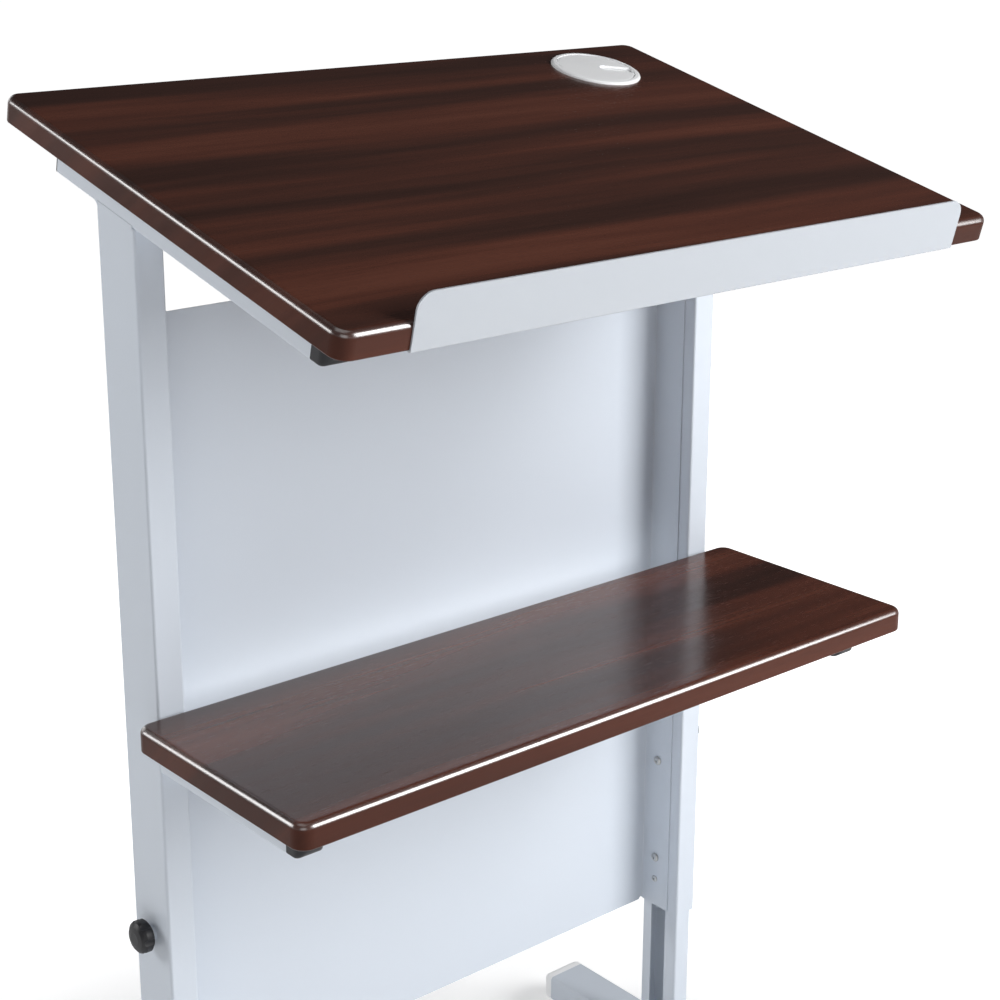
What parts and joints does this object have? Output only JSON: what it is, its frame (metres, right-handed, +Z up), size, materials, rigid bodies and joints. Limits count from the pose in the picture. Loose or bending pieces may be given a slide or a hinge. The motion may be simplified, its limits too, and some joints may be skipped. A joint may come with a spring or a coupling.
{
  "type": "presentation lectern",
  "caption": "Height-adjustable presentation lectern: tilted walnut-grain top with document stop and cable grommet, shelf, modesty panel, telescoping legs on feet, side clamp knobs.",
  "frame": {"origin": "on the floor, under the middle of the lectern's outer box", "axes": "+Z up; +X the speaker's right; +Y away from the speaker, towards the audience"},
  "size_m": [0.702, 0.5158, 1.122],
  "materials": {
    "walnut_laminate": "dark walnut-grain laminate, semi-gloss",
    "white_powder_coat": "white powder coat, satin",
    "white_plastic": "moulded white plastic, satin gloss",
    "black_plastic": "moulded black plastic, matte",
    "grey_nylon": "moulded grey nylon, matte",
    "black_rubber": "moulded black rubber",
    "zinc_steel": "zinc-plated steel"
  },
  "bodies": {
    "base": {"crossbar": "white_powder_coat", "crossbar_bolts": "zinc_steel", "foot_pad_screws": "zinc_steel", "foot_pads": "black_rubber", "left_crossbar_bracket": "white_powder_coat", "left_foot": "white_powder_coat", "left_foot_caps": "white_plastic", "left_inner_leg": "white_powder_coat", "left_leg_plate": "white_powder_coat", "left_leg_top_slider": "grey_nylon", "leg_plate_bolts": "zinc_steel", "right_crossbar_bracket": "white_powder_coat", "right_foot": "white_powder_coat", "right_foot_caps": "white_plastic", "right_inner_leg": "white_powder_coat", "right_leg_plate": "white_powder_coat", "right_leg_top_slider": "grey_nylon"},
    "left_clamp": {"left_clamp_pad": "grey_nylon"},
    "left_knob_grip": {"left_knob": "black_plastic", "left_knob_stud": "zinc_steel", "left_knob_washer": "zinc_steel"},
    "right_clamp": {"right_clamp_pad": "grey_nylon"},
    "right_knob_grip": {"right_knob": "black_plastic", "right_knob_stud": "zinc_steel", "right_knob_washer": "zinc_steel"},
    "grommet_cap": {"grommet_cap": "white_plastic"},
    "upper_frame": {"document_stop": "white_powder_coat", "document_stop_screws": "zinc_steel", "frame_welds": "white_powder_coat", "grommet_collar": "white_plastic", "guide_sleeve_screws": "zinc_steel", "left_guide_sleeve": "grey_nylon", "left_lock_boss": "white_powder_coat", "left_rail_back_cap": "black_plastic", "left_rail_front_cap": "black_plastic", "left_shelf_arm": "white_powder_coat", "left_shelf_arm_cap": "black_plastic", "left_top_rail": "white_powder_coat", "left_upright": "white_powder_coat", "modesty_panel": "white_powder_coat", "panel_bolts": "zinc_steel", "panel_rivet_nuts": "zinc_steel", "right_guide_sleeve": "grey_nylon", "right_lock_boss": "white_powder_coat", "right_rail_back_cap": "black_plastic", "right_rail_front_cap": "black_plastic", "right_shelf_arm": "white_powder_coat", "right_shelf_arm_cap": "black_plastic", "right_top_rail": "white_powder_coat", "right_upright": "white_powder_coat", "shelf_board": "walnut_laminate", "shelf_board_screws": "zinc_steel", "top_board": "walnut_laminate", "top_board_screws": "zinc_steel"}
  },
  "joints": [
    {"name": "height_slide", "type": "slide", "parent": "base", "child": "upper_frame", "axis": [0, 0, 1], "range_m": [-0.14, 0.12]},
    {"name": "left_clamp_slide", "type": "slide", "parent": "upper_frame", "child": "left_clamp", "axis": [-1, 0, 0], "range_m": [0, 0.00187]},
    {"name": "left_knob_turn", "type": "hinge", "parent": "left_clamp", "child": "left_knob_grip", "pos_m": [-0.327, 0.0835, 0.405], "axis": [-1, 0, 0], "range_deg": [0, 540]},
    {"name": "right_clamp_slide", "type": "slide", "parent": "upper_frame", "child": "right_clamp", "axis": [1, 0, 0], "range_m": [0, 0.00187]},
    {"name": "right_knob_turn", "type": "hinge", "parent": "right_clamp", "child": "right_knob_grip", "pos_m": [0.327, 0.0835, 0.405], "axis": [1, 0, 0], "range_deg": [0, 540]},
    {"name": "grommet_cap_turn", "type": "hinge", "parent": "upper_frame", "child": "grommet_cap", "pos_m": [0.248, 0.14938, 1.10731], "axis": [0, -0.2453, 0.9694], "continuous": true}
  ],
  "couplings": [
    {"joint": "left_knob_turn", "follows": "left_clamp_slide", "rad_per_m": 5026.5},
    {"joint": "right_knob_turn", "follows": "right_clamp_slide", "rad_per_m": 5026.5}
  ]
}
